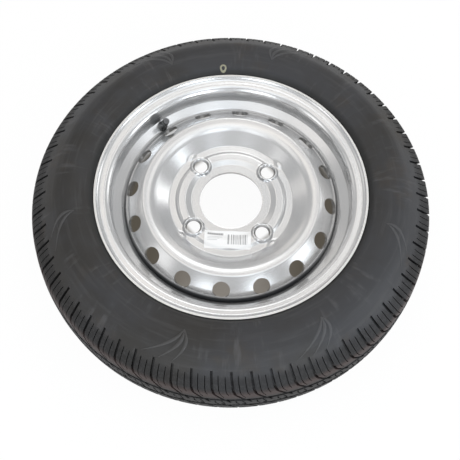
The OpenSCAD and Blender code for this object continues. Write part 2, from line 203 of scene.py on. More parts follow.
# the rim's section, in millimetres and degrees
rim = dict(seatDiameter=329.4, width=114.3, flangeHeight=18.2, lipRadius=9.5, lipCurl=-12, lipShare=0.995, sheet=2.8,
           seatLength=20.5, seatTaper=5, heelBend=6.5, seatBend=5, humpHeight=1.1, humpRun=4.6, humpBend=3.5,
           wellRadius=146.8, ledgeHeight=25, ledgeBend=8, wellBack=-14, wellBackBend=8, edgeRound=0.3, steps=288)
seatRadius = rim["seatDiameter"] / 2
halfWidth = rim["width"] / 2
lipCentre = (seatRadius + rim["flangeHeight"] - rim["lipRadius"], halfWidth + rim["lipRadius"])
lipReach = rim["lipRadius"] * math.tan(math.radians(90 + rim["lipCurl"]) / 2)
seatEnd = (seatRadius - rim["seatLength"] * math.tan(math.radians(rim["seatTaper"])), halfWidth - rim["seatLength"])
hump = (seatEnd[0] + rim["humpHeight"], seatEnd[1] - rim["humpRun"])


def rimCorners():
    start = onCircle(lipCentre, rim["lipRadius"], rim["lipCurl"])
    half = [(start[0], start[1], 0),
            (lipCentre[0] + lipReach, halfWidth, rim["lipRadius"] * rim["lipShare"]),
            (seatRadius, halfWidth, rim["heelBend"]),
            (seatEnd[0], seatEnd[1], rim["seatBend"]),
            (hump[0], hump[1], rim["humpBend"])]
    well = [(rim["wellRadius"], rim["ledgeHeight"], rim["ledgeBend"]),
            (rim["wellRadius"], rim["wellBack"], rim["wellBackBend"])]
    return half + well + mirrored(half)


# the valve's frame: square to the ledge, height 0 on the ledge's tyre side
valve = dict(azimuth=135, placeOnLedge=0.42, hole=11.5, holeCut=20, holeSides=48, stemTop=33, threadDiameter=7.7,
             capDiameter=9.6, capRoof=2.4, capSkirt=8.6, capFit=0.08)
ledgeIn = Vector((rim["wellRadius"], rim["ledgeHeight"]))
valveFoot = ledgeIn + valve["placeOnLedge"] * (Vector(hump) - ledgeIn)
valveTilt = math.atan2(hump[1] - rim["ledgeHeight"], hump[0] - rim["wellRadius"])
atValve = (Matrix.Rotation(math.radians(valve["azimuth"]), 4, "Z")
           @ Matrix.Translation((valveFoot[0], 0, valveFoot[1]))
           @ Matrix.Rotation(-valveTilt, 4, "Y"))
valveAxis = atValve.to_3x3() @ Vector((0, 0, 1))


def makeRim():
    bm = bmesh.new()
    drawSection(bm, rimCorners())
    spinRound(bm, rim["steps"])
    thicken(bm, rim["sheet"], outwards)
    softenEdges(bm, rim["edgeRound"])
    piece = makeObject("rim_hoop", bm)
    hole = bmesh.new()
    drawCylinder(hole, valve["hole"], valve["holeCut"], atValve, valve["holeSides"])
    cut(piece, [makeObject("valveHole", hole)])
    return piece


rimHoop = makeRim()
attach(rimHoop, "wheel")
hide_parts("rim_barrel")
print("rim made")

# the disc's section, its pressed bosses and ears, and its holes
disc = dict(offset=30, sheet=4, bore=85, padHeight=3, rampFoot=54, rampTop=61.5, stepTop=71.6, stepFoot=75.4,
            padBend=4.4, rampBend=4, stepBend=1.5, footBend=2.6, footRadius=84.2, dishRadius=106, dishHeight=17,
            dishBend=24, foldRadius=119.5, foldHeight=18.2, foldBend=4.5, skirtSlope=35.4, skirtBend=18, end=6,
            fit=0.05, edgeRound=0.5, steps=288, fineWithin=88, fineAbove=1.6, fineStep=1.4,
            studCircle=130, studs=4, stud=17, seatMouth=22.4, seatAngle=60, mouthBend=1.2, mouthRim=3, mouthRise=0.6,
            studCutDown=20, studCutUp=10, studSides=64, boss=28.6, bossRim=0.3, bossHeight=2.0, bossLean=2.2,
            pressReach=40, earRadius=83.8, earHeight=2.4, earWidth=2.2, earLength=5.2,
            vents=16, vent=23, ventRadius=135, ventHeight=40.6, ventLean=45, ventCut=24, ventSides=56)
hubTop = disc["offset"] + disc["sheet"]
padTop = hubTop + disc["padHeight"]
bossTop = padTop + disc["bossHeight"]
discRadius = rim["wellRadius"] - rim["sheet"] - disc["fit"]


def discCorners():
    foldTop = hubTop + disc["foldHeight"]
    skirtCorner = foldTop - (discRadius - disc["foldRadius"]) * math.tan(math.radians(disc["skirtSlope"]))
    return [(disc["bore"] / 2, hubTop, 0),
            (disc["rampFoot"], hubTop, disc["rampBend"]),
            (disc["rampTop"], padTop, disc["padBend"]),
            (disc["stepTop"], padTop, disc["padBend"]),
            (disc["stepFoot"], hubTop, disc["stepBend"]),
            (disc["footRadius"], hubTop, disc["footBend"]),
            (disc["dishRadius"], hubTop + disc["dishHeight"], disc["dishBend"]),
            (disc["foldRadius"], foldTop, disc["foldBend"]),
            (discRadius, skirtCorner, disc["skirtBend"]),
            (discRadius, disc["end"], 0)]


def studPlaces():
    apart = 360 / disc["studs"]
    return [onCircle((0, 0), disc["studCircle"] / 2, (i + 0.5) * apart) for i in range(disc["studs"])]


def smoothStep(x):
    x = max(0.0, min(1.0, x))
    return x * x * (3 - 2 * x)


# presses the bosses round the stud holes, and the small ears outside them
def pressBosses(bm):
    for stud in studPlaces():
        out = stud.normalized()
        for vert in bm.verts:
            flat = Vector(vert.co.xy)
            away = (flat - stud).length
            if away > disc["pressReach"]:
                continue
            lift = smoothStep((disc["boss"] / 2 + disc["bossRim"] - away) / disc["bossLean"])
            vert.co.z += lift * (bossTop - vert.co.z)
            along = (flat.dot(out) - disc["earRadius"]) / disc["earWidth"]
            across = flat.cross(out) / disc["earLength"]
            vert.co.z += (1 - lift) * disc["earHeight"] * math.exp(-along ** 2 - across ** 2)


def makeStudCutter():
    hole, mouth = disc["stud"] / 2, disc["seatMouth"] / 2
    coneFoot = bossTop - (mouth - hole) / math.tan(math.radians(disc["seatAngle"] / 2))
    low, top = bossTop - disc["studCutDown"], bossTop + disc["studCutUp"]
    bm = bmesh.new()
    drawSection(bm, [(0, low, 0), (hole, low, 0), (hole, coneFoot, 0), (mouth, bossTop, disc["mouthBend"]),
                     (mouth + disc["mouthRim"], bossTop + disc["mouthRise"], 0),
                     (mouth + disc["mouthRim"], top, 0), (0, top, 0)])
    spinRound(bm, disc["studSides"])
    bmesh.ops.translate(bm, vec=(disc["studCircle"] / 2, 0, 0), verts=bm.verts)
    turnAbout(bm, 180 / disc["studs"])
    repeatRound(bm, disc["studs"])
    faceOutwards(bm)
    return makeObject("studCutter", bm)


def makeVentCutter():
    place = (Matrix.Translation((disc["ventRadius"], 0, disc["ventHeight"]))
             @ Matrix.Rotation(math.radians(disc["ventLean"]), 4, "Y"))
    bm = bmesh.new()
    drawCylinder(bm, disc["vent"], disc["ventCut"], place, disc["ventSides"])
    repeatRound(bm, disc["vents"])
    faceOutwards(bm)
    return makeObject("ventCutter", bm)


def makeDisc():
    bm = bmesh.new()
    drawSection(bm, discCorners())
    hub = [e for e in bm.edges
           if min(v.co.x for v in e.verts) < disc["fineWithin"] and e.calc_length() > disc["fineAbove"]]
    for edge in hub:
        bmesh.ops.subdivide_edges(bm, edges=[edge], cuts=int(edge.calc_length() / disc["fineStep"]))
    spinRound(bm, disc["steps"])
    pressBosses(bm)
    thicken(bm, disc["sheet"], upwards)
    softenEdges(bm, disc["edgeRound"])
    piece = makeObject("disc_pressing", bm)
    cut(piece, [makeStudCutter(), makeVentCutter()])
    return piece


discPressing = makeDisc()
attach(discPressing, "wheel")
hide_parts("wheel_disc")
print("disc made")

# the tyre's section, its bead and inner wall, and its grooves; a share keeps a bend just inside its edges
tyre = dict(diameter=543, width=155, crownRadius=250, crownHalf=31, crownShare=0.97, shoulderRadius=16, shoulderEnd=46,
            bulgeRadius=34, bulgeEnd=105, tread=13.5, wall=7, steps=256,
            bead=18, beadStep=8.5, beadStepBend=7, beadFit=0.05, beadShare=0.99, lipLeave=-35,
            toeIn=1, toeDrop=0.6, toeRun=8, toeRise=4.5, toeBend=8, lowRun=11, lowBend=20, innerShare=0.98, roofBend=16,
            grooveDepth=7, grooveWidth=7, grooveHeight=12, grooveLean=9, grooveBend=0.8, grooveCut=12,
            pitches=64, cutAbove=4, cutStep=3.5, sharpAbove=30)
tyreRadius = tyre["diameter"] / 2
crownEnd = math.degrees(math.asin(tyre["crownHalf"] / tyre["crownRadius"]))
crownCentre = (tyreRadius - tyre["crownRadius"], 0)
shoulderCentre = onCircle(crownCentre, tyre["crownRadius"] - tyre["shoulderRadius"], crownEnd)
shoulderOut = onCircle(shoulderCentre, tyre["shoulderRadius"], tyre["shoulderEnd"])
bulgeHeight = tyre["width"] / 2 - tyre["bulgeRadius"]
endSin, endCos = math.sin(math.radians(tyre["shoulderEnd"])), math.cos(math.radians(tyre["shoulderEnd"]))
slant = (bulgeHeight + tyre["bulgeRadius"] * endSin - shoulderOut[1]) / endCos
bulgeCentre = (shoulderOut[0] - slant * endSin - tyre["bulgeRadius"] * endCos, bulgeHeight)


def tangentCorner(centre, radius, fromDegrees, toDegrees):
    middle = (fromDegrees + toDegrees) / 2
    return onCircle(centre, radius / math.cos(math.radians(toDegrees - fromDegrees) / 2), middle)


def tyreOuterCorners():
    crown = tangentCorner(crownCentre, tyre["crownRadius"], 0, crownEnd)
    shoulder = tangentCorner(shoulderCentre, tyre["shoulderRadius"], crownEnd, tyre["shoulderEnd"])
    bulge = tangentCorner(bulgeCentre, tyre["bulgeRadius"], tyre["shoulderEnd"], tyre["bulgeEnd"])
    bulgeOut = onCircle(bulgeCentre, tyre["bulgeRadius"], tyre["bulgeEnd"])
    leave = onCircle(lipCentre, rim["lipRadius"] + tyre["beadFit"], tyre["lipLeave"])
    ledge = leave[0] + tyre["beadStep"]
    ledgeHeight = bulgeOut[1] + (bulgeOut[0] - ledge) / math.tan(math.radians(tyre["bulgeEnd"]))
    return [(crown[0], crown[1], tyre["crownRadius"] * tyre["crownShare"]),
            (shoulder[0], shoulder[1], tyre["shoulderRadius"]),
            (bulge[0], bulge[1], tyre["bulgeRadius"]),
            (ledge, ledgeHeight, tyre["beadStepBend"]),
            (leave[0], leave[1], 0)]


def tyreBeadCorners():
    gap = tyre["beadFit"]
    lip = rim["lipRadius"] + gap
    reach = lip * math.tan(math.radians(90 + tyre["lipLeave"]) / 2)
    taper = math.tan(math.radians(rim["seatTaper"]))
    return [(lipCentre[0] + reach, halfWidth - gap, lip * tyre["beadShare"]),
            (seatRadius + gap, halfWidth - gap, rim["heelBend"]),
            (seatRadius - tyre["bead"] * taper + gap, halfWidth - tyre["bead"], 0)]


def tyreInnerCorners():
    t = tyre
    toe = (seatRadius - t["bead"] * math.tan(math.radians(rim["seatTaper"])), halfWidth - t["bead"])
    inner = t["bulgeRadius"] - t["wall"]
    out = onCircle(bulgeCentre, inner, t["bulgeEnd"])
    low = (out[0] - t["lowRun"], out[1] + t["lowRun"] / math.tan(math.radians(t["bulgeEnd"])))
    bulge = tangentCorner(bulgeCentre, inner, t["shoulderEnd"], t["bulgeEnd"])
    top = onCircle(bulgeCentre, inner, t["shoulderEnd"])
    innerRadius = tyreRadius - t["tread"]
    roof = top[1] - (innerRadius - top[0]) / math.tan(math.radians(t["shoulderEnd"]))
    return [(toe[0] + t["toeIn"], toe[1] - t["toeDrop"], 0),
            (toe[0] + t["toeRun"], toe[1] + t["toeRise"], t["toeBend"]),
            (low[0], low[1], t["lowBend"]),
            (bulge[0], bulge[1], inner * t["innerShare"]),
            (innerRadius, roof, t["roofBend"])]


def tyreCorners():
    half = tyreOuterCorners() + tyreBeadCorners() + tyreInnerCorners()
    return half + mirrored(half)


# the tread's surface: radius and lean at a height
def treadAt(z):
    sign = 1 if z >= 0 else -1
    z = abs(z)
    if z < tyre["crownHalf"]:
        a = math.asin(z / tyre["crownRadius"])
        return tyreRadius - tyre["crownRadius"] * (1 - math.cos(a)), sign * a
    a = math.asin(min(1, (z - shoulderCentre[1]) / tyre["shoulderRadius"]))
    if a > math.radians(tyre["shoulderEnd"]):
        a = math.radians(tyre["shoulderEnd"])
        return shoulderOut[0] - (z - shoulderOut[1]) * math.tan(a), sign * a
    return shoulderCentre[0] + tyre["shoulderRadius"] * math.cos(a), sign * a


# each cut's stops: height above the middle, and how far round, in millimetres; its shift is a share of a pitch
treadPattern = dict(
    deep=dict(stops=[(57, -1), (49, 0), (40, 1.5), (30, 5), (20, 12), (11, 20), (3, 26)],
              depth=4.8, width=3.4, shift=0),
    fine=dict(stops=[(53, 0), (46, 0.6), (38, 2), (29, 5), (21, 9)], depth=3.6, width=1.1, shift=0.31),
    short=dict(stops=[(52, 0), (45, 0.6), (37, 2), (28.5, 5.5)], depth=3.6, width=1.1, shift=0.66),
    rib=dict(stops=[(7.4, 0), (0, 1.5), (-7.4, 5)], depth=3.4, width=1.8, shift=0.2))


# a wall that follows the tread's surface along a cut's stops, repeated round the tyre
def makeTreadCutter(name, pattern, side):
    fine = []
    for (z0, s0), (z1, s1) in zip(pattern["stops"], pattern["stops"][1:]):
        pieces = max(1, round(abs(z1 - z0) / tyre["cutStep"]))
        fine += [(z0 + (z1 - z0) * k / pieces, s0 + (s1 - s0) * k / pieces) for k in range(pieces)]
    fine.append(pattern["stops"][-1])
    phase = math.radians((pattern["shift"] + (0 if side > 0 else 0.5)) * 360 / tyre["pitches"])
    bm = bmesh.new()
    line = []
    down = {}
    for z, s in fine:
        radius, lean = treadAt(z * side)
        out = Vector((math.cos(lean), 0, math.sin(lean)))
        turn = Matrix.Rotation(s / tyreRadius * side + phase, 3, "Z")
        vert = bm.verts.new(turn @ (Vector((radius, 0, z * side)) + out * tyre["cutAbove"]))
        down[vert] = turn @ (-out * (pattern["depth"] + tyre["cutAbove"]))
        line.append(vert)
    edges = [bm.edges.new(pair) for pair in zip(line, line[1:])]
    for vert in vertsOf(bmesh.ops.extrude_edge_only(bm, edges=edges)):
        source = min(line, key=lambda v: (v.co - vert.co).length)
        vert.co += down[source]
    bmesh.ops.recalc_face_normals(bm, faces=bm.faces)
    bm.normal_update()
    for vert in bm.verts:
        vert.co -= vert.normal * pattern["width"] / 2
    bmesh.ops.solidify(bm, geom=bm.faces[:], thickness=-pattern["width"])
    repeatRound(bm, tyre["pitches"])
    faceOutwards(bm)
    return makeObject(name, bm)


def makeGrooveCutter(side):
    lean = math.tan(math.radians(tyre["grooveLean"]))
    foot = tyre["grooveWidth"] / 2 - tyre["grooveDepth"] * lean
    mouth = foot + tyre["grooveCut"] * lean
    low = tyreRadius - tyre["grooveDepth"]
    top = low + tyre["grooveCut"]
    middle = side * tyre["grooveHeight"]
    bm = bmesh.new()
    drawSection(bm, [(low, middle - foot, tyre["grooveBend"]), (low, middle + foot, tyre["grooveBend"]),
                     (top, middle + mouth, 0), (top, middle - mouth, 0)], closed=True)
    spinRound(bm, tyre["steps"])
    faceOutwards(bm)
    return makeObject("groove", bm)


def makeTyre():
    bm = bmesh.new()
    drawSection(bm, tyreCorners(), closed=True)
    spinRound(bm, tyre["steps"])
    faceOutwards(bm)
    piece = makeObject("tyre_moulded", bm)
    cutters = [makeGrooveCutter(side) for side in (-1, 1)]
    cutters += [makeTreadCutter(name, pattern, side) for side in (-1, 1) for name, pattern in treadPattern.items()]
    cut(piece, cutters, tyre["sharpAbove"])
    return piece


tyreMoulded = makeTyre()
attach(tyreMoulded, "wheel")
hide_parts("tyre")
print("tyre made")

# moulded blades on the sidewall: each group fans out of one point, its start (radius, azimuth),
# to its blades' ends (radius, azimuth, width)
bladeGroups = dict(height=0.35, sink=0.6, narrow=0.45, points=12, bend=2.2, leafFrom=0.1, leafRun=0.82, groups=[
    dict(start=(208, 259.5), ends=[(246, 248.5, 4.2), (246, 254, 4.8), (245, 258.3, 4.2)]),
    dict(start=(214, 306.5), ends=[(247, 294.5, 4.2), (248, 299.5, 4.8), (247, 304, 4.2)]),
    dict(start=(208, 119), ends=[(243, 130, 4.2), (244, 125, 4.8), (243, 120.5, 4.2)]),
    dict(start=(208, 79.5), ends=[(243, 68, 4.2), (244, 73.5, 4.8), (243, 78, 4.2)]),
    dict(start=(208, 196), ends=[(243, 207, 3.8), (244, 202, 4.2)]),
    dict(start=(208, 350), ends=[(243, 339, 3.8), (244, 344, 4.2)])])


# height and lean of the sidewall's surface at a radius
def sidewallAt(radius):
    lowest = onCircle(bulgeCentre, tyre["bulgeRadius"], tyre["bulgeEnd"])
    if radius < lowest[0]:
        slope = math.radians(tyre["bulgeEnd"])
        return lowest[1] + (lowest[0] - radius) / math.tan(slope), slope
    lean = math.acos(max(-1, min(1, (radius - bulgeCentre[0]) / tyre["bulgeRadius"])))
    if lean < math.radians(tyre["shoulderEnd"]):
        lean = math.radians(tyre["shoulderEnd"])
        return shoulderOut[1] + (shoulderOut[0] - radius) / math.tan(lean), lean
    return bulgeCentre[1] + tyre["bulgeRadius"] * math.sin(lean), lean


# a blade's middle line: each point's place, outward direction and half width
def bladeLine(start, end):
    b = bladeGroups
    startRadius, startAzimuth = start
    endRadius, endAzimuth, width = end
    swing = endAzimuth - startAzimuth
    bend = math.copysign(b["bend"], swing)
    line = []
    for k in range(b["points"]):
        part = k / (b["points"] - 1)
        radius = startRadius + (endRadius - startRadius) * part
        turn = Matrix.Rotation(math.radians(startAzimuth + swing * part - bend * math.sin(math.pi * part)), 3, "Z")
        height, lean = sidewallAt(radius)
        out = turn @ Vector((math.cos(lean), 0, math.sin(lean)))
        half = width * math.sin(math.pi * (b["leafFrom"] + b["leafRun"] * part)) / 2
        line.append((turn @ Vector((radius, 0, height)), out, half))
    return line


def makeBlades():
    b = bladeGroups
    bm = bmesh.new()
    for line in [bladeLine(group["start"], end) for group in b["groups"] for end in group["ends"]]:
        rails = [[], []]
        for k, (spot, out, half) in enumerate(line):
            before, after = line[max(0, k - 1)][0], line[min(len(line) - 1, k + 1)][0]
            across = (after - before).cross(out).normalized() * half
            rails[0].append(bm.verts.new(spot - out * b["sink"] - across))
            rails[1].append(bm.verts.new(spot - out * b["sink"] + across))
        edges = [bm.edges.new(pair) for rail in rails for pair in zip(rail, rail[1:])]
        faces = bmesh.ops.bridge_loops(bm, edges=edges)["faces"]
        for vert in vertsOf(bmesh.ops.extrude_face_region(bm, geom=faces, use_keep_orig=True)):
            spot, out, half = min(line, key=lambda point: (point[0] - point[1] * b["sink"] - vert.co).length)
            vert.co += out * (b["sink"] + b["height"])
            vert.co += (spot + out * b["height"] - vert.co) * b["narrow"]
    faceOutwards(bm)
    return makeObject("sidewall_blades", bm, 50)


blades = makeBlades()
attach(blades, "wheel")

# a painted ring that marks the tyre's light spot
balanceMark = dict(radius=189.6, azimuth=98.8, outer=4.6, inner=2.3, thick=0.2, sides=40, rings=2, dropFrom=100)


def makeMark():
    m = balanceMark
    grow = m["outer"] / m["inner"]
    bm = bmesh.new()
    bmesh.ops.create_circle(bm, cap_ends=False, segments=m["sides"], radius=m["inner"])
    made = bmesh.ops.extrude_edge_only(bm, edges=bm.edges[:])
    bmesh.ops.scale(bm, vec=(grow, grow, 1), verts=vertsOf(made))
    bmesh.ops.subdivide_edges(bm, edges=[e for e in bm.edges if not e.is_boundary], cuts=m["rings"])
    bmesh.ops.translate(bm, vec=(m["radius"], 0, 0), verts=bm.verts)
    turnAbout(bm, m["azimuth"])
    wall = tyreMoulded.evaluated_get(bpy.context.evaluated_depsgraph_get())
    for vert in bm.verts:
        spot = wall.ray_cast(Vector((vert.co.x, vert.co.y, m["dropFrom"])) * mm, (0, 0, -1))[1]
        vert.co.z = spot.z / mm + m["thick"]
    thicken(bm, m["thick"] * 2, upwards)
    return makeObject("balance_mark", bm)


mark = makeMark()
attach(mark, "wheel")
print("sidewall marks made")

# the valve cap's collar, flutes and dished top
capShape = dict(flutes=18, fluteDepth=0.35, fluteSteps=6, flutePower=0.6, fluteFrom=1.6, fluteTo=0.9, boreClear=0.25,
                collar=1.4, neck=1.8, shoulder=1.6, domeIn=1.1, domeDrop=0.2, lipIn=1.9, dishIn=2.4, dishDepth=0.35)


def makeCap():
    c = capShape
    bore = valve["threadDiameter"] / 2 + valve["capFit"]
    out = valve["capDiameter"] / 2
    flute = out - c["fluteDepth"]
    low = valve["stemTop"] - valve["capSkirt"]
    top = valve["stemTop"] + valve["capRoof"]
    dish = top - c["dishDepth"]
    bm = bmesh.new()
    drawSection(bm, [(bore, low, 0.3), (out, low, 0.4), (out, low + c["collar"], 0.2), (flute, low + c["neck"], 0.2),
                     (flute, top - c["shoulder"], 0.3), (out - c["domeIn"], top - c["domeDrop"], 0.5),
                     (out - c["lipIn"], top, 0.25), (out - c["dishIn"], dish, 0.2), (0, dish, 0),
                     (0, valve["stemTop"], 0), (bore, valve["stemTop"], 0.3)], closed=True)
    axisEdges = [e for e in bm.edges if all(abs(v.co.x) < onAxis for v in e.verts)]
    bmesh.ops.delete(bm, geom=axisEdges, context="EDGES")
    spinRound(bm, c["flutes"] * c["fluteSteps"])
    for vert in bm.verts:
        reach = vert.co.xy.length
        if low + c["fluteFrom"] < vert.co.z < top - c["fluteTo"] and reach > bore + c["boreClear"]:
            wave = 0.5 + 0.5 * math.cos(math.atan2(vert.co.y, vert.co.x) * c["flutes"])
            vert.co.xy *= 1 + c["fluteDepth"] * wave ** c["flutePower"] / reach
    faceOutwards(bm)
    bmesh.ops.transform(bm, matrix=atValve, verts=bm.verts)
    return makeObject("cap_fluted", bm, 40)


cap = makeCap()
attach(cap, "cap")
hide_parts("valve_cap")
print("cap made")

# the valve core's spring, drawn at one length; the real one shortens as its pin is pressed
spring = dict(foot=20.5, top=24.2, press=1, turns=5, turnSteps=18, wire=0.3, sides=8, coilRadius=0.825, clear=0.01)


def makeSpring():
    s = spring
    inset = s["wire"] / 2 + s["clear"]
    steps = s["turns"] * s["turnSteps"]
    rise = (s["top"] - s["foot"] - 2 * inset) / steps
    place = (Matrix.Translation((s["coilRadius"], 0, s["foot"] + inset))
             @ Matrix.Rotation(math.radians(90), 4, "X"))
    bm = bmesh.new()
    bmesh.ops.create_circle(bm, cap_ends=True, segments=s["sides"], radius=s["wire"] / 2, matrix=place)
    bmesh.ops.spin(bm, geom=bm.verts[:] + bm.edges[:] + bm.faces[:], cent=(0, 0, 0), axis=(0, 0, 1),
                   dvec=(0, 0, rise), angle=math.radians(360 * s["turns"]), steps=steps)
    faceOutwards(bm)
    bmesh.ops.transform(bm, matrix=atValve, verts=bm.verts)
    return makeObject("spring_coil", bm)


springCoil = makeSpring()
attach(springCoil, "wheel")
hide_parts("core_spring")
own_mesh(springCoil)
print("spring made")

# weld runs with their ripples, on the disc's lower end
weld = dict(count=8, span=22, leg=3.5, bulge=0.72, bulgeBend=1.6, sink=0.6, above=0.4, rimSink=0.05,
            ripples=26, rippleSteps=3, swell=0.35, endRun=6, endShare=0.45, rooted=0.3)


def makeWelds():
    w = weld
    root, end = rim["wellRadius"] - rim["sheet"], disc["end"]
    bulge = w["leg"] * w["bulge"]
    bm = bmesh.new()
    drawSection(bm, [(root - w["leg"], end + w["above"], 0), (root - bulge, end - bulge, w["bulgeBend"]),
                     (root + w["rimSink"], end - w["leg"], 0), (root + w["sink"], end + w["above"], 0)], closed=True)
    bmesh.ops.holes_fill(bm, edges=bm.edges[:], sides=0)
    bmesh.ops.spin(bm, geom=bm.faces[:], cent=(0, 0, 0), axis=(0, 0, 1), angle=math.radians(w["span"]),
                   steps=w["ripples"] * w["rippleSteps"])
    for vert in bm.verts:
        part = math.degrees(math.atan2(vert.co.y, vert.co.x)) / w["span"]
        swell = w["swell"] * (0.5 + 0.5 * math.cos(2 * math.pi * part * w["ripples"]))
        share = min(1, w["endRun"] * min(part, 1 - part) + w["endShare"])
        away = Vector((root - vert.co.xy.length, end - vert.co.z))
        if max(away) > w["rooted"]:
            grown = (away + away.normalized() * swell) * share
            vert.co.xy = vert.co.xy.normalized() * (root - grown.x)
            vert.co.z = end - grown.y
    turnAbout(bm, 180 / w["count"] - w["span"] / 2)
    repeatRound(bm, w["count"])
    faceOutwards(bm)
    return makeObject("weld_beads", bm, 60)


welds = makeWelds()
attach(welds, "wheel")
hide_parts("disc_welds")
print("welds made")


# one socket, with the arithmetic that adds its Math nodes
class Wire:
    def __init__(self, paint, socket):
        self.paint = paint
        self.socket = socket

    def work(self, operation, a, b):
        return self.paint.add("ShaderNodeMath", {"operation": operation}, {0: a, 1: b})

    def __add__(self, other):
        return self.work("ADD", self, other)

    def __radd__(self, other):
        return self.work("ADD", other, self)

    def __sub__(self, other):
        return self.work("SUBTRACT", self, other)

    def __rsub__(self, other):
        return self.work("SUBTRACT", other, self)

    def __mul__(self, other):
        return self.work("MULTIPLY", self, other)

    def __rmul__(self, other):
        return self.work("MULTIPLY", other, self)

    def __truediv__(self, other):
        return self.work("DIVIDE", self, other)

    def __gt__(self, other):
        return self.work("GREATER_THAN", self, other)

    def __lt__(self, other):
        return self.work("LESS_THAN", self, other)


# one material and its nodes; add makes a node and gives one of its outputs
class Paint:
    inputNames = dict(baseColor="Base Color", coat="Coat Weight", coatRoughness="Coat Roughness",
                      specular="Specular IOR Level")

    def __init__(self, name):
        self.material = bpy.data.materials.new(name)
        self.material.use_nodes = True
        self.tree = self.material.node_tree
        self.shader = self.tree.nodes["Principled BSDF"]
        self.place = self.add("ShaderNodeTexCoord", {}, {}, "Object")

    def add(self, kind, settings, values, output=0):
        node = self.tree.nodes.new(kind)
        for key, value in settings.items():
            setattr(node, key, value)
        for key, value in values.items():
            self.join(value, node.inputs[key])
        return Wire(self, node.outputs[output])

    def join(self, value, socket):
        if isinstance(value, Wire):
            self.tree.links.new(value.socket, socket)
        elif socket.type == "RGBA":
            socket.default_value = (*value, 1)
        else:
            socket.default_value = value

    def finish(self, **values):
        for key, value in values.items():
            self.join(value, self.shader.inputs[self.inputNames.get(key, key.capitalize())])
        return self.material

    def noise(self, scale, detail=3, roughness=0.55):
        return self.add("ShaderNodeTexNoise", {}, {"Vector": self.place, "Scale": scale, "Detail": detail,
                                                   "Roughness": roughness})

    def streaks(self, a, b, c):
        place = self.add("ShaderNodeCombineXYZ", {}, {0: a, 1: b, 2: c})
        return self.add("ShaderNodeTexNoise", {}, {"Vector": place, "Scale": 1.0, "Detail": 3, "Roughness": 0.6})

    def mix(self, share, first, second):
        return self.add("ShaderNodeMix", {"data_type": "RGBA"}, {0: share, 6: first, 7: second}, 2)

    def ease(self, value, low, high):
        return self.add("ShaderNodeMapRange", {"interpolation_type": "SMOOTHSTEP"}, {0: value, 1: low, 2: high})

    def bump(self, height, strength, distance):
        return self.add("ShaderNodeBump", {}, {"Height": height, "Strength": strength, "Distance": distance})

    def single(self, operation, value):
        return self.add("ShaderNodeMath", {"operation": operation}, {0: value})

    def length(self, x, y):
        return self.single("SQRT", x * x + y * y)

    def split(self, place, count):
        return [self.add("ShaderNodeSeparateXYZ", {}, {0: place}, k) * (1 / mm) for k in range(count)]

    # x, y, distance from the wheel's axis, and height, in millimetres
    def wheelPlace(self):
        x, y, height = self.split(self.place, 3)
        return x, y, self.length(x, y), height

    def alongValve(self):
        return self.add("ShaderNodeVectorMath", {"operation": "DOT_PRODUCT"},
                        {0: self.place, 1: tuple(valveAxis)}, 1)


# colours, and the runs (in millimetres) over which each mark on the steel fades in
silverLook = dict(dull=(0.61, 0.615, 0.62), bright=(0.65, 0.65, 0.65), fleck=(0.85, 0.85, 0.85),
                  lip=(1.0, 0.985, 0.95), gap=(0.035, 0.038, 0.042), ring=(0.16, 0.165, 0.18),
                  fleckShare=0.08, studShadeShare=0.3, metallic=0.82, roughness=0.24, gapRoughness=0.4, coat=0.15,
                  coatRoughness=0.15, lipRadius=(179.6, 180.2), lipHeight=(62.0, 63.2), jointClear=0.02,
                  discGap=(35, 30), rimGap=(20, 14), gapIn=(140.2, 142.4), gapOut=(148.5, 146.5), gapShadeSide=(0, -115),
                  studShadeIn=(12.6, 13.6), studShadeOut=(15.6, 14.4), studShadeHeight=(45, 42))


def silverPaint():
    look = silverLook
    paint = Paint("silverPaint")
    x, y, radius, height = paint.wheelPlace()
    broad = paint.noise(9, 2)
    fine = paint.noise(500, 2, 0.6)
    peel = paint.noise(150, 2, 0.5)
    colour = paint.mix(paint.ease(broad, 0.35, 0.65), look["dull"], look["bright"])
    colour = paint.mix(fine * look["fleckShare"], colour, look["fleck"])
    # the lip's end: pale worn paint, whitened further as a painted highlight
    lip = paint.ease(radius, *look["lipRadius"]) * paint.ease(height, *look["lipHeight"])
    colour = paint.mix(lip, colour, look["lip"])
    # painted shade in the gap where the disc's skirt meets the rim's well, strongest towards negative y; there it is
    # also matte
    joint = discRadius + look["jointClear"]
    gapShadeHeight = (radius < joint) * paint.ease(height, *look["discGap"])
    gapShadeHeight = gapShadeHeight + (radius > joint) * paint.ease(height, *look["rimGap"])
    gapShade = paint.ease(radius, *look["gapIn"]) * paint.ease(radius, *look["gapOut"]) * gapShadeHeight
    gapShade = gapShade * paint.ease(y, *look["gapShadeSide"])
    colour = paint.mix(gapShade, colour, look["gap"])
    # painted shade in a ring round the foot of each stud's boss
    stud = disc["studCircle"] / 2 * math.sqrt(0.5)
    toStud = paint.length(paint.single("ABSOLUTE", x) - stud, paint.single("ABSOLUTE", y) - stud)
    ring = paint.ease(toStud, *look["studShadeIn"]) * paint.ease(toStud, *look["studShadeOut"])
    ring = ring * paint.ease(height, *look["studShadeHeight"])
    colour = paint.mix(ring * look["studShadeShare"], colour, look["ring"])
    rough = look["roughness"] + (broad - 0.5) * 0.08 + gapShade * look["gapRoughness"]
    return paint.finish(baseColor=colour, metallic=look["metallic"] * (1 - gapShade) * (1 - lip), roughness=rough,
                        coat=look["coat"] * (1 - gapShade), coatRoughness=look["coatRoughness"],
                        normal=paint.bump(peel, 0.05, 0.0003))
